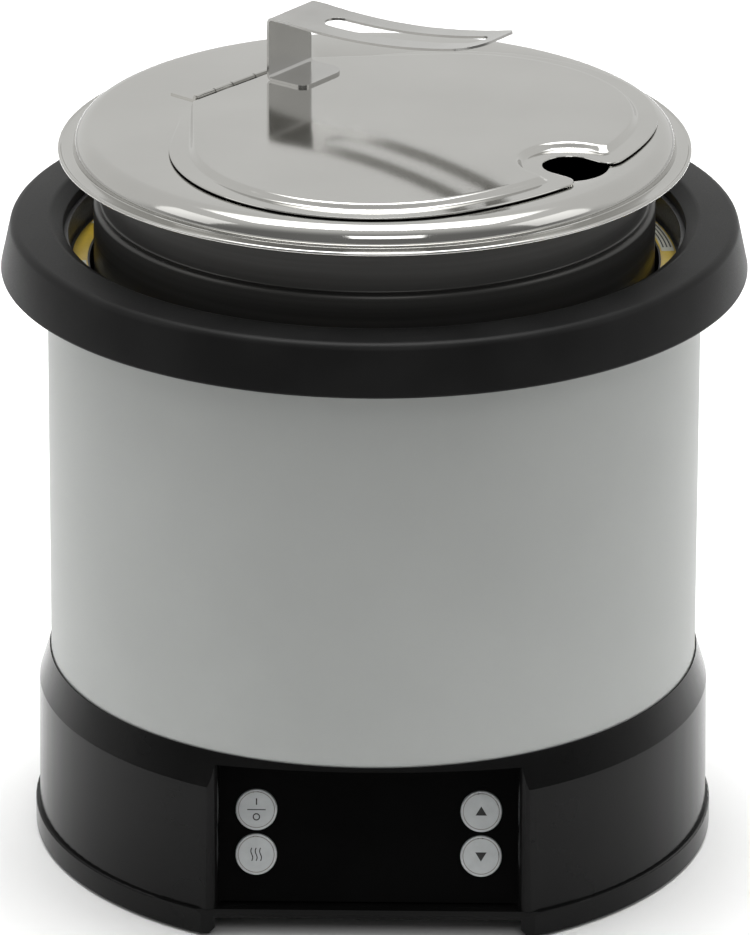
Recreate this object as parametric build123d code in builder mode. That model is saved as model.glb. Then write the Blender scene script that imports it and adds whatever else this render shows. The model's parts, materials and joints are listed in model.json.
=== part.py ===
from build123d import *
import os
from math import cos, sin, tan, radians, sqrt, atan2, acos, hypot, degrees

# A round induction soup cooker: a base with the electronics, a tall body with a well, a collar,
# a lift-out steel inset and a steel cover whose front part is a hinged flap with a ladle notch.
# Millimetres. The frame's origin is on the table under the middle of the body, +Z is up and
# -Y is the front, where the control panel is.
os.makedirs("parts", exist_ok=True)

# ---------------------------------------------------------------- driving dimensions
feet_gap = 1.5                       # clearance between the skirt and the table
skirt_r = 158.0
skirt_top = feet_gap + 11.3
wall = 3.0                           # moulded plastic wall
base_low_r = 156.1
base_high_r = 155.6
shoulder_z = feet_gap + 72.0
base_top = feet_gap + 88.0
base_rim_r = 150.8
deck_top = base_top - 1.0
deck_thick = 2.5
deck_hole_r = 112.0

body_r = 150.0
body_skin = 1.2
body_top = 290.0
flange_thick = 2.4

collar_low_r = 171.7
collar_high_r = 166.6
collar_low = feet_gap + 274.2
collar_high = feet_gap + 298.2
collar_crest = feet_gap + 299.4
collar_crest_r = 148.5
collar_lip_r = 142.3
collar_lip = feet_gap + 295.4
collar_ribs = 24

well_r = 130.6
well_wall = 2.2
well_floor = 117.5
ledge_z = 279.5
ledge_r = 140.2
floor_hole_r = 108.0

glass_r = 118.0
glass_thick = 4.0
glass_top = well_floor + glass_thick

rest_gap = 0.3                       # between a loose part and what it rests on
pot_r = 128.0
pot_neck_r = 124.5
pot_skin = 1.0
pot_disc_thick = 5.0
pot_disc_r = 100.0
pot_bottom = glass_top + rest_gap
pot_shell_bottom = pot_bottom + pot_disc_thick
pot_shoulder = feet_gap + 307.1
bead_r = 2.4
bead_z = 339.7
bead_centre_r = 126.1

cover_top = 343.5
cover_skin = 1.0
cover_roll_r = 137.5
cover_rim_r = 144.3
cover_rim_z = feet_gap + 332.6
guide_r = 122.6

# the flap is laid out along its own axis: n runs from the hinge to the ladle notch
flap_turn = -40.0                    # direction of n, degrees from +X
flap_shift = 1.7                     # the flap's axis passes this far beside the cover's middle
flap_skin = 0.8
flap_low = cover_top + 0.5
plateau_top = 347.5
plateau_inset = 12.0
side_arc_r = 92.0
side_arc_n = 22.5
side_arc_t = 29.2
nose_n = 120.4
hinge_edge_n = -80.0
hinge_edge_t = 41.3                  # half the length of the hinge edge
side_run_slope = 1.5                 # growth of that half length per millimetre of n
hinge_n = -82.5
hinge_z = cover_top + 1.8
pin_r = 0.9
knuckle_r = 1.5
knuckle_gap = 0.5
knuckle_ends = (-32.0, -20.0, -7.5, 7.5, 20.0, 32.0)
notch_n = 104.0
notch_t = 12.3
notch_r = 12.5
notch_lip_r = 7.0

# the handle strap has axes of its own, through the cover's middle, turned a little from the flap's
strap_turn = -36.0
strap_t = 26.7
strap_width = 32.4
strap_thick = 1.2
strap_back_n = -70.1
strap_foot_n = -48.4
strap_bend_r = 2.6
strap_rise = 30.4
strap_mid_n = -5.0
strap_mid_rise = 30.9
strap_tip_n = 48.3
strap_tip_rise = 40.1
strap_slot = (-2.5, 90.0, 12.5)      # middle, length and width

recess_half = 68.0
mouth_round = 5.5
panel_tilt = 17.0
panel_foot_y = -130.0
panel_thick = 2.5
window_width = 130.0
window_height = 58.0
window_middle = 34.0                 # up the panel's slope
facet_y = -138.5                     # flat front of the skirt below the panel
cutout_half = 66.0
cutout_top = feet_gap + 7.5
floor_low = 9.3
floor_thick = 2.5
floor_top = floor_low + floor_thick

button_x = 51.2
button_low = 22.6
button_high = 43.1
button_r = 9.45
button_hole_r = 9.75
button_proud = 0.6
button_travel = 0.8

fan_x = -62.0
fan_y = 58.0
fan_side = 80.0
fan_low = floor_top + 3.0
fan_high = fan_low + 25.0
fan_bore_r = 37.5
fan_blades = 7

gland_z = 42.0
gland_bore_r = 4.2
foot_place = 93.0
screw_ring_r = 148.0
screw_angles = (20, 70, 110, 160, 200, 340)


# ---------------------------------------------------------------- planes and shared shapes
def lid_plane(height):
    """A level plane in the flap's own axes: local x is n, local y is t."""
    n_dir = (cos(radians(flap_turn)), sin(radians(flap_turn)), 0)
    middle = (-n_dir[1] * flap_shift, n_dir[0] * flap_shift, height)
    return Plane(origin=middle, x_dir=n_dir, z_dir=(0, 0, 1))


def strap_plane(height):
    """A level plane in the handle strap's own axes."""
    n_dir = (cos(radians(strap_turn)), sin(radians(strap_turn)), 0)
    return Plane(origin=(0, 0, height), x_dir=n_dir, z_dir=(0, 0, 1))


def upright(level, t):
    """The upright plane along a level plane's x axis, at the distance t beside it: local y is up."""
    return Plane(origin=level.from_local_coords((0, t, 0)), x_dir=level.x_dir, z_dir=-level.y_dir)


def panel_plane(depth):
    """The tilted control panel's face, moved back into the base by depth."""
    tilt = radians(panel_tilt)
    outward = Vector(0, -cos(tilt), sin(tilt))
    return Plane(origin=Vector(0, panel_foot_y, skirt_top) - outward * depth,
                 x_dir=(1, 0, 0), z_dir=outward)


def turned(*outline):
    """Revolve a closed radius-height outline about the upright axis."""
    with BuildSketch(Plane.XZ) as section:
        with BuildLine():
            Polyline(*outline, close=True)
        make_face()
    revolve(section.sketch, axis=Axis.Z)


def spun(corners, radii, thick, side):
    """A thin sheet spun to the line through the corners, with a radius at each inner corner."""
    with BuildSketch(Plane.XZ) as section:
        with BuildLine():
            FilletPolyline(*corners, radius=radii)
            offset(amount=thick, side=side)
        make_face()
    revolve(section.sketch, axis=Axis.Z)


def ring(outer, inner, low, high):
    with BuildSketch(Plane.XY.offset(low)) as section:
        Circle(outer)
        Circle(inner, mode=Mode.SUBTRACT)
    extrude(section.sketch, amount=high - low)


def disc(radius, low, high, x=0, y=0, mode=Mode.ADD):
    with BuildSketch(Plane.XY.offset(low)) as section:
        with Locations((x, y)):
            Circle(radius)
    extrude(section.sketch, amount=high - low, mode=mode)


def block(x, y, width, depth, low, high, mode=Mode.ADD):
    with BuildSketch(Plane.XY.offset(low)) as section:
        with Locations((x, y)):
            Rectangle(width, depth)
    extrude(section.sketch, amount=high - low, mode=mode)


def on_panel(depth, height, x, s, radius, mode=Mode.ADD):
    """A round post on the panel's axes, from depth towards the front."""
    with BuildSketch(panel_plane(depth)) as section:
        with Locations((x, s)):
            Circle(radius)
    extrude(section.sketch, amount=height, mode=mode)


# ---------------------------------------------------------------- base
def recess_plan(margin):
    """The panel recess seen from above, with its rounded mouth, grown by margin."""
    half = recess_half + margin
    centre_x = half + mouth_round
    reach = base_low_r - mouth_round + 0.4
    centre_y = -sqrt(reach ** 2 - centre_x ** 2)
    edge_x = centre_x * (reach + mouth_round) / reach
    edge_y = centre_y * (reach + mouth_round) / reach
    # the arc turns from the side wall, at 180 degrees, to the mouth's outer end below it
    between = (radians(540) + atan2(edge_y - centre_y, edge_x - centre_x)) / 2
    mid_x = centre_x + mouth_round * cos(between)
    mid_y = centre_y + mouth_round * sin(between)
    with BuildLine() as outline:
        Line((-half, -90), (-half, centre_y))
        ThreePointArc((-half, centre_y), (-mid_x, mid_y), (-edge_x, edge_y))
        Polyline((-edge_x, edge_y), (-edge_x, -175), (edge_x, -175), (edge_x, edge_y))
        ThreePointArc((edge_x, edge_y), (mid_x, mid_y), (half, centre_y))
        Polyline((half, centre_y), (half, -90), (-half, -90))
    make_face(outline.edges())


def ceiling(y):
    """Height of the recess's sloping top at y."""
    return base_top - 1.9 - 0.236 * (y + 151.0)


def recess_side(back, over):
    """The recess seen from the side: the tilted back, moved by back, and the top, by over."""
    slope = tan(radians(panel_tilt))
    foot_y = panel_foot_y + back / cos(radians(panel_tilt))
    low_y = foot_y - 20 * slope
    top_z = ceiling(-108) + over
    top_y = foot_y + (top_z - skirt_top) * slope
    with BuildLine() as outline:
        Polyline((-175, skirt_top - 20), (low_y, skirt_top - 20), (top_y, top_z),
                 (-175, ceiling(-175) + over), close=True)
    make_face(outline.edges())


with BuildPart() as recess:
    with BuildSketch(Plane.XY):
        recess_plan(0)
    extrude(amount=110)
    with BuildSketch(Plane.YZ):
        recess_side(panel_thick, 0)
    extrude(amount=90, both=True, mode=Mode.INTERSECT)

with BuildPart() as recess_backing:
    with BuildSketch(Plane.XY):
        recess_plan(wall)
    extrude(amount=110)
    with BuildSketch(Plane.YZ):
        recess_side(panel_thick + wall, wall)
    extrude(amount=90, both=True, mode=Mode.INTERSECT)

with BuildPart() as cavity:
    turned((0, skirt_top - 1), (base_low_r - wall, skirt_top - 1), (base_high_r - wall, shoulder_z - 1),
           (base_rim_r - wall, deck_top - deck_thick), (0, deck_top - deck_thick))
    add(recess_backing.part, mode=Mode.SUBTRACT)

# the base's outer form, with the seat for the body in its top
with BuildPart() as base_form:
    turned((0, skirt_top), (base_low_r, skirt_top), (base_high_r, shoulder_z),
           (base_rim_r, base_top), (0, base_top))
    disc(body_r + rest_gap, deck_top, base_top, mode=Mode.SUBTRACT)

with BuildPart() as base_housing:
    add(base_form.part)
    add(cavity.part, mode=Mode.SUBTRACT)
    add(recess_backing.part, mode=Mode.SUBTRACT)
    disc(deck_hole_r, deck_top - deck_thick - 1, deck_top, mode=Mode.SUBTRACT)
    for angle in screw_angles:
        disc(5.0, skirt_top, 40.0, screw_ring_r * cos(radians(angle)), screw_ring_r * sin(radians(angle)))
    # holes for the base screws, up into the bosses
    for angle in screw_angles:
        disc(1.6, skirt_top, 34.0, screw_ring_r * cos(radians(angle)), screw_ring_r * sin(radians(angle)),
             mode=Mode.SUBTRACT)
    # hole for the cable gland
    with BuildSketch(Plane.XZ.offset(-140)):
        with Locations((0, gland_z)):
            Circle(8.2)
    extrude(amount=-25, mode=Mode.SUBTRACT)
    # outlet louvres each side of the gland
    for angle in (52, 57, 62, 67, 113, 118, 123, 128):
        with BuildSketch(Plane(origin=(0, 0, 46), x_dir=(-sin(radians(angle)), cos(radians(angle)), 0),
                               z_dir=(cos(radians(angle)), sin(radians(angle)), 0)).offset(140)):
            SlotOverall(36, 3.4, rotation=90)
        extrude(amount=25, mode=Mode.SUBTRACT)
base_housing.part.label = "base_housing"
export_step(base_housing.part, "parts/base_housing.step")

# the box behind the recess: side walls with the rounded mouth, a sloping top and a framed back
with BuildPart() as panel_housing:
    add(recess_backing.part)
    add(recess.part, mode=Mode.SUBTRACT)
    add(base_form.part, mode=Mode.INTERSECT)
    # window behind the panel for the switches and the display
    with BuildSketch(panel_plane(panel_thick + wall + 1)):
        with Locations((0, window_middle)):
            RectangleRounded(window_width, window_height, 4)
    extrude(amount=wall + 2, mode=Mode.SUBTRACT)
panel_housing.part.label = "panel_housing"
export_step(panel_housing.part, "parts/panel_housing.step")

with BuildPart() as bottom_pan:
    ring(skirt_r, skirt_r - wall, feet_gap, skirt_top)
    fillet(bottom_pan.edges().filter_by(GeomType.CIRCLE).group_by(Axis.Z)[-1].sort_by(SortBy.RADIUS)[-1], 0.8)
    disc(skirt_r - wall, floor_low, floor_top)
    # shelf below the panel, closed to the front by a flat facet
    with BuildSketch(Plane.XY.offset(floor_low)):
        Circle(skirt_r)
        with Locations((0, 0)):
            Rectangle(400, 250, mode=Mode.SUBTRACT)
        with Locations((0, 200)):
            Rectangle(400, 400, mode=Mode.SUBTRACT)
    extrude(amount=skirt_top - floor_low)
    block(0, facet_y - 40, 300, 80, 0, 40, mode=Mode.SUBTRACT)
    chamfer(bottom_pan.edges().filter_by(Axis.X).filter_by_position(Axis.Y, facet_y - 0.1, facet_y + 0.1)
            .sort_by(Axis.Z)[-1], 1.7)
    # raised front edge between the two corners of the skirt
    with BuildSketch(Plane.XZ.offset(125)):
        with BuildLine():
            Polyline((-cutout_half - 7.5, 0), (-cutout_half, cutout_top), (cutout_half, cutout_top),
                     (cutout_half + 7.5, 0), close=True)
        make_face()
    extrude(amount=40, mode=Mode.SUBTRACT)
    # four posts for the power board
    for x in (-12.0, 98.0):
        for y in (-58.0, 42.0):
            disc(4.0, floor_top, floor_top + 5.0, x, y)
    # intake slots below the fan
    with BuildSketch(Plane.XY.offset(floor_low)):
        with Locations((fan_x, fan_y)):
            with GridLocations(6.5, 1, 10, 1):
                SlotOverall(62, 3.2, rotation=90)
    extrude(amount=floor_thick, mode=Mode.SUBTRACT)
    for angle in screw_angles:
        disc(1.8, floor_low, floor_top, screw_ring_r * cos(radians(angle)), screw_ring_r * sin(radians(angle)),
             mode=Mode.SUBTRACT)
bottom_pan.part.label = "bottom_pan"
export_step(bottom_pan.part, "parts/bottom_pan.step")

with BuildPart() as rubber_feet:
    for x in (-foot_place, foot_place):
        for y in (-foot_place, foot_place):
            disc(10.0, 0, floor_low, x, y)
    chamfer(rubber_feet.edges().group_by(Axis.Z)[0], 1.0)
rubber_feet.part.label = "rubber_feet"
export_step(rubber_feet.part, "parts/rubber_feet.step")

with BuildPart() as base_screws:
    for angle in screw_angles:
        x = screw_ring_r * cos(radians(angle))
        y = screw_ring_r * sin(radians(angle))
        disc(3.4, floor_low - 2.2, floor_low, x, y)
        disc(1.6, floor_low, 30.0, x, y)
base_screws.part.label = "base_screws"
export_step(base_screws.part, "parts/base_screws.step")

# ---------------------------------------------------------------- body, well and collar
with BuildPart() as body_shell:
    ring(body_r, body_r - body_skin, deck_top, body_top)
    ring(body_r - body_skin, 143.0, body_top - body_skin, body_top)
body_shell.part.label = "body_shell"
export_step(body_shell.part, "parts/body_shell.step")

with BuildPart() as well_liner:
    turned((floor_hole_r, well_floor - 3), (well_r + well_wall, well_floor - 3),
           (well_r + well_wall, ledge_z - well_wall), (ledge_r + well_wall, ledge_z - well_wall),
           (ledge_r + well_wall, body_top), (body_r - 0.1, body_top),
           (body_r - 0.1, body_top + flange_thick), (ledge_r, body_top + flange_thick),
           (ledge_r, ledge_z), (well_r, ledge_z), (well_r, well_floor), (floor_hole_r, well_floor))
well_liner.part.label = "well_liner"
export_step(well_liner.part, "parts/well_liner.step")

with BuildPart() as collar_rib:
    with BuildSketch(Plane.XZ):
        with BuildLine():
            Polyline((152.5, collar_low + 8), (163.0, collar_high - 12), (163.0, collar_high - 2.5),
                     (152.5, collar_high - 2.5), close=True)
        make_face()
    extrude(amount=1.0, both=True)

with BuildPart() as top_collar:
    socket_r = body_r + 0.4
    lip_low = body_top + flange_thick
    turned((collar_lip_r, lip_low), (collar_lip_r, collar_lip), (collar_crest_r, collar_crest),
           (collar_high_r, collar_high), (collar_low_r, collar_low), (collar_low_r - 3.4, collar_low),
           (collar_high_r - 3.4, collar_high - 3.2), (socket_r + wall, collar_high - 3.2),
           (socket_r + wall, collar_low + 1), (socket_r, collar_low + 1), (socket_r, lip_low))
    rims = top_collar.edges().filter_by(GeomType.CIRCLE)
    fillet([e for e in rims if abs(e.radius - collar_high_r) < 0.01], 4.0)
    rims = top_collar.edges().filter_by(GeomType.CIRCLE)
    fillet([e for e in rims if abs(e.radius - collar_low_r) < 0.01], 1.2)
    rims = top_collar.edges().filter_by(GeomType.CIRCLE)
    fillet([e for e in rims if abs(e.radius - collar_crest_r) < 0.01], 2.0)
    with PolarLocations(0, collar_ribs):
        add(collar_rib.part)
top_collar.part.label = "top_collar"
export_step(top_collar.part, "parts/top_collar.step")

# flat ring that closes the collar's hollow from below
with BuildPart() as collar_base:
    ring(collar_low_r - 4.6, socket_r + wall + 0.1, collar_low + 1.3, collar_low + 3.3)
collar_base.part.label = "collar_base"
export_step(collar_base.part, "parts/collar_base.step")

with BuildPart() as label_ring:
    ring(ledge_r - 1.6, well_r + 0.8, ledge_z, ledge_z + 0.5)
label_ring.part.label = "label_ring"
export_step(label_ring.part, "parts/label_ring.step")

with BuildPart() as glass_disc:
    disc(glass_r, well_floor, glass_top)
    chamfer(glass_disc.edges().group_by(Axis.Z)[-1], 0.5)
glass_disc.part.label = "glass_disc"
export_step(glass_disc.part, "parts/glass_disc.step")

with BuildPart() as disc_seal:
    ring(glass_r + 3.2, glass_r, well_floor, glass_top - 0.4)
disc_seal.part.label = "disc_seal"
export_step(disc_seal.part, "parts/disc_seal.step")

# ---------------------------------------------------------------- induction coil
coil_wire_r = 2.1
coil_pitch = 6.0
coil_first_r = 32.0
coil_half_turns = 22
insulator_top = well_floor - 3.0 - 0.5
insulator_low = insulator_top - 1.0
coil_z = insulator_low - coil_wire_r
tray_top = coil_z - coil_wire_r
tray_low = tray_top - 4.0
tray_r = 112.0
standoff_ring_r = 118.0

with BuildPart() as induction_coil:
    with BuildLine() as coil_path:
        start_x = coil_first_r
        for half_turn in range(coil_half_turns):
            side = 1 if half_turn % 2 == 0 else -1
            radius = coil_first_r + half_turn * coil_pitch / 2
            end_x = start_x - side * 2 * radius
            middle_x = (start_x + end_x) / 2
            ThreePointArc((start_x, 0, coil_z), (middle_x, side * radius, coil_z), (end_x, 0, coil_z))
            start_x = end_x
    with BuildSketch(Plane(origin=coil_path.line @ 0, z_dir=coil_path.line % 0)):
        Circle(coil_wire_r)
    sweep(path=coil_path.line)
induction_coil.part.label = "induction_coil"
export_step(induction_coil.part, "parts/induction_coil.step")

with BuildPart() as coil_tray:
    ring(tray_r, 18.0, tray_low, tray_top)
    with BuildSketch(Plane.XY.offset(tray_low)):
        with PolarLocations(tray_r - 2, 4, start_angle=45):
            SlotOverall(28, 14)
    extrude(amount=tray_top - tray_low)
    with BuildSketch(Plane.XY.offset(tray_low)):
        with PolarLocations(standoff_ring_r, 4, start_angle=45):
            Circle(2.0)
    extrude(amount=tray_top - tray_low, mode=Mode.SUBTRACT)
coil_tray.part.label = "coil_tray"
export_step(coil_tray.part, "parts/coil_tray.step")

with BuildPart() as coil_standoffs:
    with BuildSketch(Plane.XY.offset(deck_top)):
        with PolarLocations(standoff_ring_r, 4, start_angle=45):
            RegularPolygon(4.5, 6)
    extrude(amount=tray_low - deck_top)
coil_standoffs.part.label = "coil_standoffs"
export_step(coil_standoffs.part, "parts/coil_standoffs.step")

with BuildPart() as ferrite_bars:
    with BuildSketch(Plane.XY.offset(tray_low - 5)):
        with PolarLocations(66, 8):
            Rectangle(60, 14)
    extrude(amount=5)
ferrite_bars.part.label = "ferrite_bars"
export_step(ferrite_bars.part, "parts/ferrite_bars.step")

with BuildPart() as mica_sheet:
    disc(106.0, insulator_low, insulator_top)
    disc(12.0, insulator_low, insulator_top, mode=Mode.SUBTRACT)
mica_sheet.part.label = "mica_sheet"
export_step(mica_sheet.part, "parts/mica_sheet.step")

with BuildPart() as temperature_sensor:
    disc(9.0, well_floor - 3.0, well_floor)
    disc(4.0, tray_low, well_floor - 3.0)
temperature_sensor.part.label = "temperature_sensor"
export_step(temperature_sensor.part, "parts/temperature_sensor.step")

with BuildPart() as sensor_bracket:
    disc(17.0, tray_low - 1.6, tray_low)
    block(0, 0, 50, 14, tray_low - 1.6, tray_low)
sensor_bracket.part.label = "sensor_bracket"
export_step(sensor_bracket.part, "parts/sensor_bracket.step")

# ---------------------------------------------------------------- power electronics
board_low = floor_top + 5.0
board_top = board_low + 1.6

with BuildPart() as power_board:
    block(43, -8, 126, 116, board_low, board_top)
power_board.part.label = "power_board"
export_step(power_board.part, "parts/power_board.step")

with BuildPart() as heat_sink:
    block(72, 18, 60, 56, board_top, board_top + 5)
    with BuildSketch(Plane.XY.offset(board_top + 5)):
        with Locations((72, 18)):
            with GridLocations(7.2, 1, 8, 1):
                Rectangle(1.8, 56)
    extrude(amount=30)
heat_sink.part.label = "heat_sink"
export_step(heat_sink.part, "parts/heat_sink.step")

with BuildPart() as filter_capacitors:
    block(0, -44, 26, 14, board_top, board_top + 24)
    block(0, -24, 26, 14, board_top, board_top + 24)
    disc(9.0, board_top, board_top + 30, 34, -48)
    disc(9.0, board_top, board_top + 30, 56, -48)
    fillet(filter_capacitors.edges().group_by(Axis.Z)[-1], 1.0)
filter_capacitors.part.label = "filter_capacitors"
export_step(filter_capacitors.part, "parts/filter_capacitors.step")

with BuildPart() as choke:
    with Locations((88, -44, board_top + 8)):
        Torus(11.0, 6.0)
choke.part.label = "choke"
export_step(choke.part, "parts/choke.step")

fan_spin_gap = 0.6
motor_top = fan_low + 3.0

with BuildPart() as fan_housing:
    block(fan_x, fan_y, fan_side, fan_side, fan_low, fan_high)
    fillet(fan_housing.edges().filter_by(Axis.Z), 4.0)
    disc(fan_bore_r, fan_low, fan_high, fan_x, fan_y, mode=Mode.SUBTRACT)
    block(fan_x, fan_y, fan_side - 2, 5.0, fan_low, fan_low + 2.4)
    block(fan_x, fan_y, 5.0, fan_side - 2, fan_low, fan_low + 2.4)
    disc(16.0, fan_low, motor_top, fan_x, fan_y)
    disc(2.0, motor_top, fan_high - 3, fan_x, fan_y)
    for x in (fan_x - 32, fan_x + 32):
        for y in (fan_y - 32, fan_y + 32):
            disc(3.5, floor_top, fan_low, x, y)
            disc(2.1, fan_low, fan_high, x, y, mode=Mode.SUBTRACT)
fan_housing.part.label = "fan_housing"
export_step(fan_housing.part, "parts/fan_housing.step")

with BuildPart() as fan_rotor:
    disc(16.0, motor_top + fan_spin_gap, fan_high - 1, fan_x, fan_y)
    for blade in range(fan_blades):
        turn = 360.0 / fan_blades * blade
        spoke = (cos(radians(turn)), sin(radians(turn)), 0)
        middle = (fan_x, fan_y, (motor_top + fan_high) / 2)
        with BuildSketch(Plane(origin=middle, x_dir=(-spoke[1], spoke[0], 0), z_dir=spoke).offset(15)):
            Rectangle(20, 1.4, rotation=38)
        extrude(amount=fan_bore_r - 1.2 - 15)
    disc(2.05, fan_low, fan_high, fan_x, fan_y, mode=Mode.SUBTRACT)
fan_rotor.part.label = "fan_rotor"
export_step(fan_rotor.part, "parts/fan_rotor.step")

with BuildPart() as cable_gland:
    with BuildSketch(Plane.XZ.offset(-140)):
        with Locations((0, gland_z)):
            Circle(8.0)
    extrude(amount=-16.3)
    with BuildSketch(Plane.XZ.offset(-156.3)):
        with Locations((0, gland_z)):
            RegularPolygon(12.0, 6)
    extrude(amount=-4.5)
    with BuildSketch(Plane.XZ.offset(-160.8)):
        with Locations((0, gland_z)):
            Circle(9.4)
    extrude(amount=-6.5)
    fillet(cable_gland.edges().group_by(Axis.Y)[-1], 2.4)
    with BuildSketch(Plane.XZ.offset(-138)):
        with Locations((0, gland_z)):
            Circle(gland_bore_r)
    extrude(amount=-32, mode=Mode.SUBTRACT)
cable_gland.part.label = "cable_gland"
export_step(cable_gland.part, "parts/cable_gland.step")

with BuildPart() as gland_nut:
    with BuildSketch(Plane.XZ.offset(-146.5)):
        with Locations((0, gland_z)):
            RegularPolygon(12.5, 6)
            Circle(8.0, mode=Mode.SUBTRACT)
    extrude(amount=-5)
gland_nut.part.label = "gland_nut"
export_step(gland_nut.part, "parts/gland_nut.step")

# ---------------------------------------------------------------- control panel
panel_height = 66.0
panel_clear = 1.1
panel_post = 6.9
board_depth = panel_thick + panel_post
stem_r = 2.2
ear_depth = panel_thick + 0.3

with BuildPart() as control_panel:
    with BuildSketch(panel_plane(panel_thick)):
        with Locations((0, panel_clear + panel_height / 2)):
            RectangleRounded(2 * recess_half - 0.8, panel_height, 2.0)
        with Locations((0, (button_low + button_high) / 2)):
            with GridLocations(2 * button_x, button_high - button_low, 2, 2):
                Circle(button_hole_r, mode=Mode.SUBTRACT)
    extrude(amount=panel_thick)
    for x in (-30.0, 30.0):
        for s in (12.0, 56.0):
            on_panel(board_depth, panel_post, x, s, 3.0)
            on_panel(board_depth, panel_post, x, s, 1.2, mode=Mode.SUBTRACT)
control_panel.part.label = "control_panel"
export_step(control_panel.part, "parts/control_panel.step")

with BuildPart() as control_board:
    with BuildSketch(panel_plane(board_depth + 1.6)):
        with Locations((0, 34)):
            RectangleRounded(122, 52, 2)
        for x in (-30.0, 30.0):
            with Locations((x, 12), (x, 56)):
                Circle(1.2, mode=Mode.SUBTRACT)
    extrude(amount=1.6)
control_board.part.label = "control_board"
export_step(control_board.part, "parts/control_board.step")

with BuildPart() as panel_screws:
    for x in (-30.0, 30.0):
        for s in (12.0, 56.0):
            on_panel(board_depth + 1.6, 7.0, x, s, 1.2)
            on_panel(board_depth + 3.4, 1.8, x, s, 2.6)
panel_screws.part.label = "panel_screws"
export_step(panel_screws.part, "parts/panel_screws.step")

with BuildPart() as display_module:
    with BuildSketch(panel_plane(board_depth)):
        with Locations((0, 34)):
            Rectangle(50, 19)
    extrude(amount=6.0)
display_module.part.label = "display_module"
export_step(display_module.part, "parts/display_module.step")

with BuildPart() as tact_switches:
    with BuildSketch(panel_plane(board_depth)):
        with Locations((0, (button_low + button_high) / 2)):
            with GridLocations(2 * button_x, button_high - button_low, 2, 2):
                Rectangle(6.2, 6.2)
    extrude(amount=3.2)
    for x in (-button_x, button_x):
        for s in (button_low, button_high):
            on_panel(board_depth - 3.2, 0.4, x, s, 1.7)
tact_switches.part.label = "tact_switches"
export_step(tact_switches.part, "parts/tact_switches.step")


def button(x, s):
    """A round cap with two side ears behind the panel and a stem to its switch."""
    on_panel(ear_depth + 1.0, ear_depth + 1.0 + button_proud, x, s, button_r)
    with BuildSketch(panel_plane(ear_depth + 1.0)) as ears:
        with Locations((x, s)):
            Rectangle(2 * button_r + 4.4, 6.0)
    extrude(ears.sketch, amount=1.0)
    on_panel(ear_depth + 1.8, 0.8, x, s, stem_r)


with BuildPart() as button_power:
    button(-button_x, button_high)
button_power.part.label = "button_power"
export_step(button_power.part, "parts/button_power.step")

with BuildPart() as button_mode:
    button(-button_x, button_low)
button_mode.part.label = "button_mode"
export_step(button_mode.part, "parts/button_mode.step")

with BuildPart() as button_up:
    button(button_x, button_high)
button_up.part.label = "button_up"
export_step(button_up.part, "parts/button_up.step")

with BuildPart() as button_down:
    button(button_x, button_low)
button_down.part.label = "button_down"
export_step(button_down.part, "parts/button_down.step")

# ---------------------------------------------------------------- lift-out inset
with BuildPart() as inset_pot:
    spun([(0, pot_shell_bottom), (pot_r, pot_shell_bottom), (pot_r, pot_shoulder),
          (pot_neck_r, pot_shoulder), (pot_neck_r, bead_z)], [12.0, 2.3, 0.8], pot_skin, Side.LEFT)
    with BuildSketch(Plane.XZ):
        with Locations((bead_centre_r, bead_z)):
            Circle(bead_r)
    revolve(axis=Axis.Z)
inset_pot.part.label = "inset_pot"
export_step(inset_pot.part, "parts/inset_pot.step")

with BuildPart() as pot_base_disc:
    disc(pot_disc_r, pot_bottom, pot_shell_bottom)
    chamfer(pot_base_disc.edges().group_by(Axis.Z)[0], 1.5)
pot_base_disc.part.label = "pot_base_disc"
export_step(pot_base_disc.part, "parts/pot_base_disc.step")


# ---------------------------------------------------------------- cover
def polar(centre_n, centre_t, radius, angle):
    return (centre_n + radius * cos(radians(angle)), centre_t + radius * sin(radians(angle)))


def flap_outline(inset):
    """The flap from above, moved in by inset: a nose arc, two side arcs and straight runs to the
    hinge edge, where the inset is smaller."""
    nose_reach = nose_n - side_arc_r
    # the nose arc touches both side arcs from outside, so its centre follows from the three radii
    nose_centre = (nose_reach ** 2 - side_arc_n ** 2 - side_arc_t ** 2) / (2 * (nose_reach - side_arc_n))
    nose_radius = nose_n - nose_centre - inset
    join = degrees(atan2(side_arc_t, side_arc_n - nose_centre))
    radius = side_arc_r - inset
    rear_n = hinge_edge_n + inset / 3
    rear_t = hinge_edge_t + side_run_slope * (rear_n - hinge_edge_n) - inset / 2
    # each straight run leaves the rear corner and touches the side arc
    corner_angle = atan2(rear_t - side_arc_t, rear_n - side_arc_n)
    leave = degrees(corner_angle - acos(radius / hypot(rear_n - side_arc_n, rear_t - side_arc_t)))
    join_low = polar(nose_centre, 0, nose_radius, -join)
    join_high = polar(nose_centre, 0, nose_radius, join)
    side_low = polar(side_arc_n, -side_arc_t, radius, -leave)
    side_high = polar(side_arc_n, side_arc_t, radius, leave)
    mid_angle = (join + leave) / 2
    with BuildLine() as outline:
        ThreePointArc(join_low, (nose_centre + nose_radius, 0), join_high)
        ThreePointArc(join_high, polar(side_arc_n, side_arc_t, radius, mid_angle), side_high)
        Polyline(side_high, (rear_n, rear_t), (rear_n, -rear_t), side_low)
        ThreePointArc(side_low, polar(side_arc_n, -side_arc_t, radius, -mid_angle), join_low)
    make_face(outline.edges())


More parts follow.
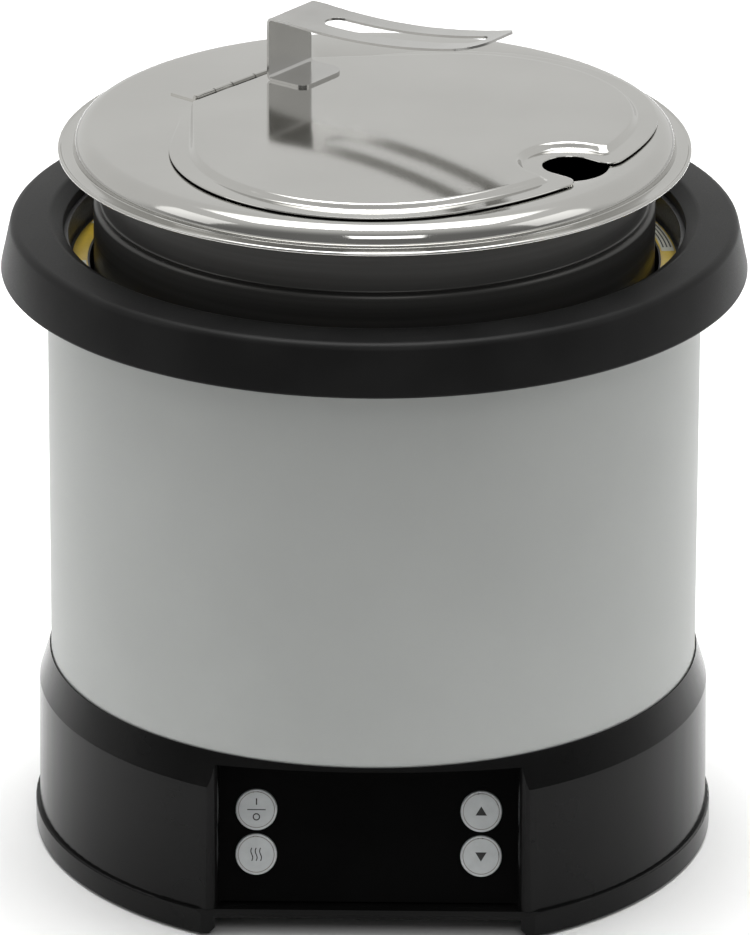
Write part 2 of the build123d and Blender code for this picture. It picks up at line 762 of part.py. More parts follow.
def notched_outline(inset, lip_r):
    """The flap's outline with the ladle notch, which opens to the nose between two rounded lips."""
    notch = notch_r + inset
    with BuildSketch(Plane.XY) as plan:
        flap_outline(inset)
        with Locations((notch_n, notch_t)):
            Circle(notch, mode=Mode.SUBTRACT)
        with Locations((notch_n + 20, notch_t)):
            Rectangle(40, 2 * notch, mode=Mode.SUBTRACT)
        mouth = plan.vertices().filter_by_position(Axis.X, notch_n - 3, 200)
        mouth = mouth.filter_by_position(Axis.Y, notch_t - notch - 2, notch_t + notch + 2)
        fillet([v for v in mouth if hypot(v.X - notch_n, v.Y - notch_t) > notch + 0.5], lip_r)
        fillet(plan.vertices().group_by(Axis.X)[0], 5.0)
    return plan.sketch


flap_blank = notched_outline(0, notch_lip_r)
plateau_blank = notched_outline(plateau_inset, 4.0)
plateau_hollow = notched_outline(plateau_inset + flap_skin + 0.6, 3.0)

with BuildSketch(Plane.XY) as opening_blank:
    flap_outline(6.0)
    with Locations((notch_n - 4, notch_t)):
        Circle(notch_r + 8)

with BuildPart() as cover_plate:
    spun([(0, cover_top), (cover_roll_r, cover_top), (cover_roll_r, cover_rim_z), (cover_rim_r, cover_rim_z)],
         [8.6, 0.6], cover_skin, Side.RIGHT)
    with BuildSketch(Plane.XZ):
        with Locations((cover_rim_r - 0.7, cover_rim_z - 0.6)):
            Circle(1.0)
    revolve(axis=Axis.Z)
    with BuildSketch(lid_plane(cover_top - 3)):
        add(opening_blank.sketch)
    extrude(amount=6, mode=Mode.SUBTRACT)
cover_plate.part.label = "cover_plate"
export_step(cover_plate.part, "parts/cover_plate.step")

with BuildPart() as cover_guide:
    ring(guide_r, guide_r - 1.0, cover_top - 10, cover_top - cover_skin)
cover_guide.part.label = "cover_guide"
export_step(cover_guide.part, "parts/cover_guide.step")


def knuckle(t_low, t_high, bore):
    with BuildSketch(upright(lid_plane(0), t_low)) as barrel:
        with Locations((hinge_n, hinge_z)):
            Circle(knuckle_r)
    extrude(barrel.sketch, amount=-(t_high - t_low))
    with BuildSketch(upright(lid_plane(0), t_low - 0.2)) as hole:
        with Locations((hinge_n, hinge_z)):
            Circle(bore)
    extrude(hole.sketch, amount=-(t_high - t_low + 0.4), mode=Mode.SUBTRACT)


def leaf(n_low, n_high, low, high, t_half):
    with BuildSketch(lid_plane(low)) as strip:
        with Locations(((n_low + n_high) / 2, 0)):
            Rectangle(n_high - n_low, 2 * t_half)
    extrude(strip.sketch, amount=high - low)


with BuildPart() as cover_hinge_leaf:
    leaf(-98.0, hinge_n - knuckle_r, cover_top, cover_top + 0.8, 32.0)
    for first in (0, 2, 4):
        with BuildSketch(lid_plane(cover_top)):
            with Locations((hinge_n - 1.2, (knuckle_ends[first] + knuckle_ends[first + 1]) / 2)):
                Rectangle(2.4, knuckle_ends[first + 1] - knuckle_ends[first])
        extrude(amount=0.8)
    for first in (0, 2, 4):
        knuckle(knuckle_ends[first], knuckle_ends[first + 1], pin_r)
cover_hinge_leaf.part.label = "cover_hinge_leaf"
export_step(cover_hinge_leaf.part, "parts/cover_hinge_leaf.step")

with BuildPart() as hinge_pin:
    with BuildSketch(upright(lid_plane(0), -33.0)):
        with Locations((hinge_n, hinge_z)):
            Circle(pin_r)
    extrude(amount=-66.0)
hinge_pin.part.label = "hinge_pin"
export_step(hinge_pin.part, "parts/hinge_pin.step")

with BuildPart() as flap_plate:
    with BuildSketch(lid_plane(flap_low)):
        add(flap_blank)
    extrude(amount=flap_skin)
    with BuildSketch(lid_plane(flap_low)):
        add(plateau_blank)
    extrude(amount=plateau_top - flap_low)
    top_rim = flap_plate.faces().sort_by(Axis.Z)[-1].outer_wire().edges()
    fillet(top_rim, 1.4)
    with BuildSketch(lid_plane(flap_low)):
        add(plateau_hollow)
    extrude(amount=plateau_top - flap_skin - flap_low, mode=Mode.SUBTRACT)
flap_plate.part.label = "flap_plate"
export_step(flap_plate.part, "parts/flap_plate.step")

with BuildPart() as flap_hinge_leaf:
    leaf(hinge_n + 1.0, hinge_edge_n + 3.4, flap_low + flap_skin, flap_low + flap_skin + 0.6, 19.5)
    with BuildSketch(lid_plane(flap_low)):
        with Locations((hinge_n, 0)):
            Rectangle(30, 2 * abs(knuckle_ends[2]) + 2 * knuckle_gap)
    extrude(amount=10, mode=Mode.SUBTRACT)
    for low_t, high_t in ((-19.5, -8.0), (8.0, 19.5)):
        knuckle(low_t, high_t, pin_r + 0.05)
flap_hinge_leaf.part.label = "flap_hinge_leaf"
export_step(flap_hinge_leaf.part, "parts/flap_hinge_leaf.step")

strap_low = plateau_top
strap_top = plateau_top + strap_rise


def strap_corner(n, side):
    """The short edges at one corner of the strap's foot or tip."""
    found = []
    for edge in flap_handle.edges():
        place = strap_plane(0).to_local_coords(edge.center())
        if edge.length < 2 * strap_thick and abs(place.X - n) < 1 and side * (place.Y - strap_t) > 10:
            found.append(edge)
    return found


with BuildPart() as flap_handle:
    with BuildSketch(upright(strap_plane(0), strap_t)):
        with BuildLine():
            foot_end = (strap_foot_n, strap_low)
            heel = (strap_back_n, strap_low)
            head = (strap_back_n, strap_top)
            blade_start = (strap_back_n + 10, strap_top)
            FilletPolyline(foot_end, heel, head, blade_start, radius=[strap_bend_r, strap_bend_r])
            ThreePointArc(blade_start, (strap_mid_n, plateau_top + strap_mid_rise),
                          (strap_tip_n, plateau_top + strap_tip_rise))
            offset(amount=strap_thick, side=Side.RIGHT)
        make_face()
    extrude(amount=strap_width / 2, both=True)
    with BuildSketch(strap_plane(strap_top - 8)):
        with Locations((strap_slot[0], strap_t)):
            SlotOverall(strap_slot[1], strap_slot[2])
    extrude(amount=30, mode=Mode.SUBTRACT)
    fillet(strap_corner(strap_tip_n, -1), 13.0)
    fillet(strap_corner(strap_tip_n, 1), 4.5)
    fillet(strap_corner(strap_foot_n, -1), 4.0)
    fillet(strap_corner(strap_foot_n, 1), 8.0)
flap_handle.part.label = "flap_handle"
export_step(flap_handle.part, "parts/flap_handle.step")
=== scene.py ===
import json
import math

import bpy
import bmesh
from mathutils import Vector, Matrix
from mathutils.geometry import delaunay_2d_cdt


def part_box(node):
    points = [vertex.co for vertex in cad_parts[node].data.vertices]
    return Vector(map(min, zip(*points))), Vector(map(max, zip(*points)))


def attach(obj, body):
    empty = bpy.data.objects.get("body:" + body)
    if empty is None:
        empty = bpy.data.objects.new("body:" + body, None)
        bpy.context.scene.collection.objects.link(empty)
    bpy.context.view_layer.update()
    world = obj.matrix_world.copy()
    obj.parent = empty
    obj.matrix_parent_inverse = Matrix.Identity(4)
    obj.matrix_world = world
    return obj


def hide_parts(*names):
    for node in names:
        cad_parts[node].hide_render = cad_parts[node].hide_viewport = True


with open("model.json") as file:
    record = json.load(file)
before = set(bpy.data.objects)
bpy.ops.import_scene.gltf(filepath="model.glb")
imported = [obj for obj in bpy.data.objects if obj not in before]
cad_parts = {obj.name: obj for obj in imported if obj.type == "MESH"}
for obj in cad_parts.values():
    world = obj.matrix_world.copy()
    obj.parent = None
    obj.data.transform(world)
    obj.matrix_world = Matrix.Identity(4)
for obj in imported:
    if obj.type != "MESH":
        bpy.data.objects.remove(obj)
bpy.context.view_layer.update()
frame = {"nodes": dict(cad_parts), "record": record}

MM = 0.001
SEGMENTS = 288                                  # steps of a full turn
NEARLY_STRAIGHT = math.radians(89.5)            # half a corner's angle, past which it isn't rounded


# ------------------------------------------------------------------ mesh helpers
def new_piece(name, verts, faces, body, material, sharp=35.0):
    """A mesh piece in millimetres that rides on a body, smooth except at sharp corners."""
    mesh = bpy.data.meshes.new(name)
    mesh.from_pydata([Vector(v) * MM for v in verts], [], faces)
    work = bmesh.new()
    work.from_mesh(mesh)
    bmesh.ops.remove_doubles(work, verts=work.verts, dist=1e-7)
    bmesh.ops.recalc_face_normals(work, faces=work.faces)
    work.to_mesh(mesh)
    work.free()
    mesh.shade_smooth()
    mesh.set_sharp_from_angle(angle=math.radians(sharp))
    piece = bpy.data.objects.new(name, mesh)
    bpy.context.scene.collection.objects.link(piece)
    mesh.materials.append(material)
    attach(piece, body)
    return piece


def rounded(points, radii, steps=6, closed=True):
    """A 2D outline whose corners are replaced by arcs of the given radii."""
    made = []
    count = len(points)
    for i, corner in enumerate(points):
        radius = radii[i]
        if radius <= 0 or (not closed and i in (0, count - 1)):
            made.append(tuple(corner))
            continue
        here = Vector(corner)
        back = (Vector(points[i - 1]) - here).normalized()
        on = (Vector(points[(i + 1) % count]) - here).normalized()
        half = back.angle(on) / 2
        if half > NEARLY_STRAIGHT:
            made.append(tuple(corner))
            continue
        centre = here + (back + on).normalized() * (radius / math.sin(half))
        start = here + back * (radius / math.tan(half)) - centre
        end = here + on * (radius / math.tan(half)) - centre
        turn = start.angle_signed(end)
        for step in range(steps + 1):
            spin = -turn * step / steps
            made.append((centre.x + start.x * math.cos(spin) - start.y * math.sin(spin),
                         centre.y + start.x * math.sin(spin) + start.y * math.cos(spin)))
    return made


def lathe(name, outline, body, material, radius_at=None):
    """Turn a closed radius-height outline about the upright axis."""
    verts = []
    faces = []
    rows = len(outline)
    for s in range(SEGMENTS):
        angle = 2 * math.pi * s / SEGMENTS
        for r, z in outline:
            reach = r if radius_at is None else radius_at(r, z, s)
            verts.append((reach * math.cos(angle), reach * math.sin(angle), z))
    for s in range(SEGMENTS):
        here = s * rows
        there = ((s + 1) % SEGMENTS) * rows
        for row in range(rows):
            up = (row + 1) % rows
            faces.append((here + row, there + row, there + up, here + up))
    return new_piece(name, verts, faces, body, material)


def arc(centre, radius, start, end, count):
    """Points on an arc in degrees, both ends included."""
    made = []
    for i in range(count + 1):
        a = math.radians(start + (end - start) * i / count)
        made.append((centre[0] + radius * math.cos(a), centre[1] + radius * math.sin(a)))
    return made


def circles_meet(c1, r1, c2, r2, upper=True):
    """One crossing of two circles: the one with the larger second coordinate, or the smaller."""
    a = Vector(c1)
    gap = Vector(c2) - a
    along = (r1 * r1 - r2 * r2 + gap.length_squared) / (2 * gap.length)
    across = math.sqrt(max(r1 * r1 - along * along, 0))
    unit = gap.normalized()
    side = Vector((-unit.y, unit.x))
    both = [a + unit * along + side * across, a + unit * along - side * across]
    both.sort(key=lambda p: p.y)
    return tuple(both[1] if upper else both[0])


# ------------------------------------------------------------------ materials
def shader(name):
    """A new material with its node tree, links and main shader."""
    material = bpy.data.materials.new(name)
    material.use_nodes = True
    nodes = material.node_tree.nodes
    return material, nodes, material.node_tree.links, nodes["Principled BSDF"]


def noise(nodes, links, scale, detail, stretch):
    """A noise value from 0 to 1 over the object's own coordinates."""
    place = nodes.new("ShaderNodeTexCoord")
    mapping = nodes.new("ShaderNodeMapping")
    mapping.inputs["Scale"].default_value = stretch
    texture = nodes.new("ShaderNodeTexNoise")
    texture.inputs["Scale"].default_value = scale
    texture.inputs["Detail"].default_value = detail
    links.new(place.outputs["Object"], mapping.inputs["Vector"])
    links.new(mapping.outputs["Vector"], texture.inputs["Vector"])
    return texture.outputs["Fac"]


def ramp(nodes, links, value, low, high):
    """Blend two colours over the middle of a noise value's range."""
    blend = nodes.new("ShaderNodeValToRGB")
    blend.color_ramp.elements[0].position = 0.35
    blend.color_ramp.elements[1].position = 0.65
    blend.color_ramp.elements[0].color = (*low, 1)
    blend.color_ramp.elements[1].color = (*high, 1)
    links.new(value, blend.inputs["Fac"])
    return blend.outputs["Color"]


def span(nodes, links, value, low, high):
    """Map the middle of a noise value's range onto low to high."""
    fit = nodes.new("ShaderNodeMapRange")
    fit.inputs["From Min"].default_value = 0.3
    fit.inputs["From Max"].default_value = 0.7
    fit.inputs["To Min"].default_value = low
    fit.inputs["To Max"].default_value = high
    links.new(value, fit.inputs["Value"])
    return fit.outputs["Result"]


def relief(nodes, links, bsdf, height, depth_mm):
    """A fine bump of the given depth."""
    bump = nodes.new("ShaderNodeBump")
    bump.inputs["Strength"].default_value = 0.5
    bump.inputs["Distance"].default_value = depth_mm * MM
    links.new(height, bump.inputs["Height"])
    links.new(bump.outputs["Normal"], bsdf.inputs["Normal"])


def surface(name, dark, light, rough, grain, depth, metallic=0.0, stretch=(1, 1, 1), patch=40.0,
            coat=0.0, coat_rough=0.05, specular=0.5):
    """A material with patchy colour and roughness and a fine grain."""
    material, nodes, links, bsdf = shader(name)
    bsdf.inputs["Metallic"].default_value = metallic
    bsdf.inputs["Specular IOR Level"].default_value = specular
    bsdf.inputs["Coat Weight"].default_value = coat
    bsdf.inputs["Coat Roughness"].default_value = coat_rough
    clouds = noise(nodes, links, patch, 4.0, stretch)
    fine = noise(nodes, links, grain, 6.0, stretch)
    links.new(ramp(nodes, links, clouds, dark, light), bsdf.inputs["Base Color"])
    links.new(span(nodes, links, fine, rough[0], rough[1]), bsdf.inputs["Roughness"])
    relief(nodes, links, bsdf, fine, depth)
    return material


RINGS = (0.06, 0.06, 6.0)            # stretch that turns noise into turning lines on an upright wall

cover_steel = surface("cover_steel", (0.485, 0.48, 0.462), (0.515, 0.51, 0.492), (0.07, 0.11), 900, 0.001,
                      metallic=1.0, patch=14)
handle_steel = surface("handle_steel", (0.44, 0.436, 0.424), (0.50, 0.496, 0.483), (0.11, 0.17), 1100, 0.003,
                       metallic=1.0, stretch=(1, 1, 0.3), patch=30)
# the pot's steel gets a near-black base colour: painted shade standing in for the lid's shadow and the dark
# collar it reflects
pot_steel = surface("pot_steel", (0.056, 0.055, 0.053), (0.070, 0.069, 0.067), (0.32, 0.42), 160, 0.008,
                    metallic=0.7, stretch=RINGS, patch=50, specular=0.3)
body_silver = surface("body_silver", (0.34, 0.35, 0.342), (0.36, 0.37, 0.362), (0.38, 0.46), 2600, 0.004,
                      metallic=0.45, patch=9, specular=0.4)
collar_black = surface("collar_black", (0.005, 0.005, 0.005), (0.008, 0.008, 0.008), (0.36, 0.46), 1900,
                       0.02, patch=30, specular=0.12)
gloss_black = surface("gloss_black", (0.004, 0.004, 0.004), (0.006, 0.006, 0.006), (0.14, 0.20), 700,
                      0.003, patch=20, specular=0.13)
panel_black = surface("panel_black", (0.002, 0.002, 0.002), (0.003, 0.003, 0.003), (0.05, 0.09), 500,
                      0.001, patch=25, specular=0.05)
liner_black = surface("liner_black", (0.020, 0.020, 0.021), (0.028, 0.028, 0.029), (0.35, 0.50), 900,
                      0.01, patch=60)
button_grey = surface("button_grey", (0.50, 0.52, 0.525), (0.55, 0.57, 0.575), (0.34, 0.44), 1500, 0.004,
                      patch=200)
print_black = surface("print_black", (0.012, 0.012, 0.012), (0.02, 0.02, 0.02), (0.4, 0.5), 1500, 0.001,
                      patch=300)
cap_ring_grey = surface("cap_ring_grey", (0.19, 0.18, 0.16), (0.23, 0.22, 0.20), (0.4, 0.5), 1500, 0.001,
                     patch=300)
label_yellow = surface("label_yellow", (0.70, 0.47, 0.015), (0.80, 0.56, 0.02), (0.30, 0.42), 600, 0.002,
                       patch=90, coat=0.3, coat_rough=0.15)
label_pale = surface("label_pale", (0.60, 0.60, 0.52), (0.70, 0.69, 0.60), (0.30, 0.42), 600, 0.002,
                     patch=90, coat=0.3, coat_rough=0.15)
foot_rubber = surface("foot_rubber", (0.012, 0.012, 0.012), (0.022, 0.022, 0.022), (0.70, 0.85), 1500,
                      0.05, patch=200)
screw_steel = surface("screw_steel", (0.50, 0.50, 0.50), (0.60, 0.60, 0.60), (0.22, 0.34), 2500, 0.004,
                      metallic=1.0, patch=300)
glass_black = surface("glass_black", (0.006, 0.006, 0.007), (0.010, 0.010, 0.011), (0.05, 0.09), 700,
                      0.001, patch=30)
seal_rubber = surface("seal_rubber", (0.05, 0.05, 0.05), (0.08, 0.08, 0.08), (0.55, 0.7), 1500, 0.02,
                      patch=200)
copper = surface("copper", (0.55, 0.22, 0.09), (0.68, 0.32, 0.14), (0.22, 0.36), 1800, 0.02,
                 metallic=1.0, patch=200)
tray_plastic = surface("tray_plastic", (0.62, 0.58, 0.50), (0.70, 0.66, 0.58), (0.5, 0.65), 900, 0.01,
                       patch=60)
standoff_brass = surface("standoff_brass", (0.66, 0.48, 0.18), (0.74, 0.56, 0.24), (0.22, 0.34),
                         1500, 0.004, metallic=1.0, patch=300)
ferrite = surface("ferrite", (0.05, 0.05, 0.052), (0.08, 0.08, 0.082), (0.5, 0.7), 2500, 0.02, patch=300)
mica = surface("mica", (0.50, 0.45, 0.34), (0.62, 0.57, 0.46), (0.4, 0.6), 900, 0.02, patch=150)
sensor_metal = surface("sensor_metal", (0.60, 0.60, 0.61), (0.70, 0.70, 0.71), (0.25, 0.38), 1200, 0.004,
                       metallic=1.0, patch=150)
board_green = surface("board_green", (0.015, 0.10, 0.045), (0.03, 0.16, 0.07), (0.25, 0.35), 900, 0.006,
                      patch=260)
sink_aluminium = surface("sink_aluminium", (0.58, 0.58, 0.60), (0.68, 0.68, 0.70), (0.3, 0.42), 900,
                         0.006, metallic=1.0, stretch=(1, 0.1, 1), patch=60)
component_black = surface("component_black", (0.02, 0.02, 0.025), (0.04, 0.04, 0.045), (0.3, 0.45), 900,
                          0.006, patch=200)
fan_black = surface("fan_black", (0.014, 0.014, 0.014), (0.022, 0.022, 0.022), (0.35, 0.5), 1200, 0.01,
                    patch=120)
gland_black = surface("gland_black", (0.014, 0.014, 0.014), (0.022, 0.022, 0.022), (0.45, 0.6), 1500,
                      0.02, patch=120)

CAD_MATERIALS = {
    "gloss_black": gloss_black, "panel_black": panel_black, "collar_black": collar_black,
    "body_silver": body_silver, "foot_rubber": foot_rubber, "screw_steel": screw_steel,
    "liner_black": liner_black, "label_yellow": label_yellow, "glass_black": glass_black,
    "seal_rubber": seal_rubber, "copper": copper, "tray_plastic": tray_plastic,
    "standoff_brass": standoff_brass, "ferrite": ferrite, "mica": mica, "sensor_metal": sensor_metal,
    "board_green": board_green, "sink_aluminium": sink_aluminium, "component_black": component_black,
    "fan_black": fan_black, "gland_black": gland_black, "button_grey": button_grey,
    "pot_steel": pot_steel, "cover_steel": cover_steel, "handle_steel": handle_steel,
}
for row in frame["record"]["subparts"]:
    node = frame["nodes"][row["node"]]
    for place in node.material_slots:
        place.material = CAD_MATERIALS[row["material_slot"]]


# ------------------------------------------------------------------ sizes read from the frame
def edges_of(node):
    """A node's lowest and highest corners in millimetres."""
    low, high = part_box(node)
    return Vector(low) / MM, Vector(high) / MM


shell_low, shell_high = edges_of("body_shell")
collar_low, collar_high = edges_of("top_collar")
label_low, label_high = edges_of("label_ring")
pot_low, pot_high = edges_of("inset_pot")
plate_high = edges_of("cover_plate")[1]
flap_low, flap_high = edges_of("flap_plate")
handle_low = edges_of("flap_handle")[0]

hinge = next(j for j in frame["record"]["behaviour"]["joints"] if j["name"] == "flap_hinge")
HINGE_N = -82.5                                 # the hinge pin's place on the flap's axis
t_dir = -Vector(hinge["axis"]).normalized()
n_dir = Vector((t_dir.y, -t_dir.x, 0))
lid_origin = Vector(hinge["pos_m"]) / MM - n_dir * HINGE_N
lid_origin.z = 0


def lid(n, t, z):
    """A point of the flap's own axes in the row frame."""
    return lid_origin + n_dir * n + t_dir * t + Vector((0, 0, z))


# ------------------------------------------------------------------ body, collar and label ring
SEAM_STEPS = 2                                  # half the back seam's width, in lathe steps
SEAM_DEEP = 0.35
BODY_SKIN = 1.2
BODY_FLANGE_R = 143.0                           # inner radius of the body's turned-in top
body_r = shell_high.x


def body_reach(r, z, step):
    """The sheet's lapped seam at the back is a shallow groove."""
    behind = abs(step - SEGMENTS // 4)
    return r - SEAM_DEEP if behind < SEAM_STEPS and r > body_r - 0.1 else r


body_low = shell_low.z
body_up = shell_high.z
body = lathe("body_sheet", [(body_r - BODY_SKIN, body_low), (body_r, body_low), (body_r, body_up - 3),
                            (body_r - 0.6, body_up), (BODY_FLANGE_R, body_up),
                            (BODY_FLANGE_R, body_up - BODY_SKIN), (body_r - BODY_SKIN, body_up - 1.4)],
             "housing", body_silver, radius_at=body_reach)
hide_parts("body_shell")

COLLAR_LIP_R = 142.3
COLLAR_CREST_R = 148.5
COLLAR_SEAT = 16.7                              # from the collar's low edge up to the body's top
COLLAR_WALL = 3.4
collar_out = collar_high.x
collar_top = collar_high.z
collar_seat_z = collar_low.z + COLLAR_SEAT
channel_top = collar_top - 4.4
shoulder_r = collar_out - 5.1
socket_r = body_r + 0.4
collar_outline = rounded(
    [(COLLAR_LIP_R, collar_seat_z), (COLLAR_LIP_R, collar_top - 4.0), (COLLAR_CREST_R, collar_top),
     (shoulder_r, collar_top - 1.2), (collar_out, collar_low.z), (collar_out - COLLAR_WALL, collar_low.z),
     (shoulder_r - COLLAR_WALL, channel_top), (body_r + COLLAR_WALL, channel_top),
     (body_r + COLLAR_WALL, collar_low.z + 1), (socket_r, collar_low.z + 1), (socket_r, collar_seat_z)],
    [0, 1.0, 3.5, 4.2, 1.2, 1.0, 0.6, 0.6, 0.8, 0.8, 0])
collar = lathe("collar_ring", collar_outline, "housing", collar_black)
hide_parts("top_collar")

LABEL_IN = 131.4
LABEL_PANELS = 8
LABEL_BARS = 3
label_out = label_high.x
label_top = label_high.z


def flat_arc(name, inner, outer, low, high, start, end, body_name, material):
    """A thin level piece between two radii and two angles."""
    steps = max(2, int(abs(end - start) / 2))
    verts = []
    faces = []
    for i in range(steps + 1):
        a = math.radians(start + (end - start) * i / steps)
        for r, z in ((inner, low), (outer, low), (outer, high), (inner, high)):
            verts.append((r * math.cos(a), r * math.sin(a), z))
    for i in range(steps):
        for k in range(4):
            faces.append((4 * i + k, 4 * i + 4 + k, 4 * i + 4 + (k + 1) % 4, 4 * i + (k + 1) % 4))
    faces.append((0, 1, 2, 3))
    faces.append(tuple(4 * steps + k for k in (3, 2, 1, 0)))
    return new_piece(name, verts, faces, body_name, material)


label = lathe("label_band", [(LABEL_IN, label_low.z), (label_out, label_low.z), (label_out, label_top - 0.05),
                             (LABEL_IN, label_top - 0.05)], "housing", label_yellow)
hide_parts("label_ring")
for i in range(LABEL_PANELS):
    first = 360 // LABEL_PANELS * i + 4             # where the pale panel starts, in degrees
    panel = flat_arc(f"label_panel_{i}", LABEL_IN + 0.7, label_out - 0.7, label_top - 0.04, label_top + 0.02,
                     first, first + 24, "housing", label_pale)
    for k in range(LABEL_BARS):
        bar = flat_arc(f"label_bar_{i}_{k}", LABEL_IN + 1.6 + 1.7 * k, LABEL_IN + 2.3 + 1.7 * k,
                       label_top + 0.025, label_top + 0.05, first + 2, first + 20 - 5 * (k % 2), "housing",
                       print_black)

# ------------------------------------------------------------------ inset pot
POT_SHOULDER_Z = 308.6
POT_SKIN = 1.0
BEAD_R = 2.4
BEAD_MIDDLE_R = 126.1
HUB_R = 0.5                                     # the lathe leaves a pinhole this wide at its axis
pot_r = pot_high.x
neck_r = pot_r - 3.5
bead_z = pot_high.z - BEAD_R
pot_floor = pot_low.z
outer = rounded([(HUB_R, pot_floor), (pot_r, pot_floor), (pot_r, POT_SHOULDER_Z), (neck_r, POT_SHOULDER_Z),
                 (neck_r, bead_z - 2.0)], [0, 12.0, 2.3, 0.9, 0], steps=10, closed=False)
bead = arc((BEAD_MIDDLE_R, bead_z), BEAD_R, -130, 180, 22)
inner = rounded([(neck_r - POT_SKIN, bead_z - 1.0), (neck_r - POT_SKIN, POT_SHOULDER_Z - POT_SKIN),
                 (pot_r - POT_SKIN, POT_SHOULDER_Z - POT_SKIN), (pot_r - POT_SKIN, pot_floor + POT_SKIN),
                 (HUB_R, pot_floor + POT_SKIN)], [0, 1.9, 1.3, 11.0, 0], steps=10, closed=False)
# the pot shell carries the near-black steel, whose darkness is painted shade from the lid and collar
pot = lathe("inset_shell", outer + bead + inner, "inset", pot_steel)
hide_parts("inset_pot")


# ------------------------------------------------------------------ flap and cover
# the outline, on the flap's own axes: n from hinge to nose, t across
SIDE_R = 92.0
SIDE_C = (22.5, 29.2)
NOSE_N = 120.4
HINGE_EDGE_N = -80.0
HINGE_EDGE_T = 41.3
NOTCH = (104.0, 12.3)
NOTCH_R = 12.5
LIP_R = 7.0                                     # rounding of the notch's two lips
RUN_PARTS = 6                                   # steps along each short straight run
reach_n = NOSE_N - SIDE_R
nose_c = (reach_n ** 2 - SIDE_C[0] ** 2 - SIDE_C[1] ** 2) / (2 * (reach_n - SIDE_C[0]))
nose_r = NOSE_N - nose_c
join_angle = math.degrees(math.atan2(SIDE_C[1], SIDE_C[0] - nose_c))


def between(start, end):
    """Points spaced along a straight run, without its ends."""
    shares = [k / RUN_PARTS for k in range(1, RUN_PARTS)]
    return [(start[0] + (end[0] - start[0]) * u, start[1] + (end[1] - start[1]) * u) for u in shares]


def side_half(d, upper):
    """The outline from the middle of the hinge edge round to the nose, moved in by d."""
    mark = 1 if upper else -1
    radius = SIDE_R - d
    rear_n = HINGE_EDGE_N + d / 3
    rear_t = HINGE_EDGE_T + 1.5 * d / 3 - d / 2
    away = Vector((rear_n - SIDE_C[0], rear_t - SIDE_C[1]))
    leave = math.atan2(away.y, away.x) - math.acos(radius / away.length)
    side_end = (SIDE_C[0] + radius * math.cos(leave), SIDE_C[1] + radius * math.sin(leave))
    bend = rounded([(rear_n, 0), (rear_n, rear_t), side_end], [0, 5.0, 0], steps=8, closed=False)[1:-1]
    made = [(rear_n, bend[0][1] * k / RUN_PARTS) for k in range(RUN_PARTS)]
    made += bend + between(bend[-1], side_end)
    made += arc(SIDE_C, radius, math.degrees(leave), join_angle, 60)
    return [(n, mark * t) for n, t in made]


def nose_part(d, lip, upper):
    """From the side arc along the nose, round the notch's lip to the notch's innermost point."""
    mark = 1 if upper else -1
    reach = nose_r - d
    wide = NOTCH_R + d
    notch_c = (NOTCH[0], mark * NOTCH[1])            # measured towards this side
    lip_t = notch_c[1] + wide + lip
    lip_n = nose_c + math.sqrt((reach - lip) ** 2 - lip_t ** 2)
    leave = 90.0                                     # where the lip's arc ends and the notch's begins
    if lip_n < notch_c[0]:
        lip_n, lip_t = circles_meet((nose_c, 0), reach - lip, notch_c, wide + lip)
        leave = math.degrees(math.atan2(lip_t - notch_c[1], lip_n - notch_c[0]))
    touch = math.degrees(math.atan2(lip_t, lip_n - nose_c))
    made = arc((nose_c, 0), reach, join_angle, touch, 24)[1:]
    made += arc((lip_n, lip_t), lip, touch, leave - 180, 14)[1:]
    inner = arc(notch_c, wide, leave, 180, 24)
    made += between(made[-1], inner[0])
    return [(n, mark * t) for n, t in made + inner]


def flap_loop(d, lip):
    """The flap's outline moved in by d: points run once round, the same count for any d."""
    upper = side_half(d, True) + nose_part(d, lip, True)
    lower = side_half(d, False) + nose_part(d, lip, False)
    return upper + lower[:0:-1][1:]


def loft(name, rings, cap_first, cap_last, body_name, material, sharp=30.0):
    """Skin closed rings of equal count, and fill the first or last with a flat face."""
    count = len(rings[0])
    verts = [v for one in rings for v in one]
    faces = []
    for k in range(len(rings) - 1):
        for i in range(count):
            j = (i + 1) % count
            faces.append((k * count + i, k * count + j, (k + 1) * count + j, (k + 1) * count + i))
    if cap_first:
        faces.append(tuple(range(count)))
    if cap_last:
        faces.append(tuple((len(rings) - 1) * count + i for i in range(count)))
    return new_piece(name, verts, faces, body_name, material, sharp)


def lip_radius(d):
    """The lip's rounding, moved in by d."""
    return max(LIP_R - d, 4.0)


FLAP_SKIN = 0.8
STEP_IN = 8.6                                   # where the flange starts to rise
STEP_RUN = 3.4                                  # width of the pressed step
STEP_PARTS = 16
flange_top = flap_low.z + FLAP_SKIN
plateau = flap_high.z


def step_profile():
    """The pressed step from the flange to the plateau as distance and height."""
    made = []
    for k in range(STEP_PARTS + 1):
        u = k / STEP_PARTS
        smooth = u * u * (3 - 2 * u)
        made.append((STEP_IN + STEP_RUN * u, flange_top + (plateau - flange_top) * smooth))
    return made


top_lines = [(0.0, flange_top - 0.4), (0.12, flange_top - 0.12), (0.4, flange_top), (0.8, flange_top),
             (4.0, flange_top), (8.0, flange_top)]
top_lines += step_profile()
top_lines += [(13.3, plateau), (14.5, plateau), (20.0, plateau)]
low_lines = [(0.4, flange_top - FLAP_SKIN)] + [(d, z - FLAP_SKIN) for d, z in top_lines[3:]]
profile = low_lines[::-1] + [(0.12, flange_top - FLAP_SKIN + 0.12)] + top_lines
flap_rings = [[lid(n, t, z) for n, t in flap_loop(d, lip_radius(d))] for d, z in profile]
flap = loft("flap_sheet", flap_rings, True, True, "flap", cover_steel)
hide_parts("flap_plate")

OPEN_IN = 6.0                                   # the opening's edge lies this far inside the flap's
HOLE_C = (100.0, 12.3)
HOLE_R = 20.5


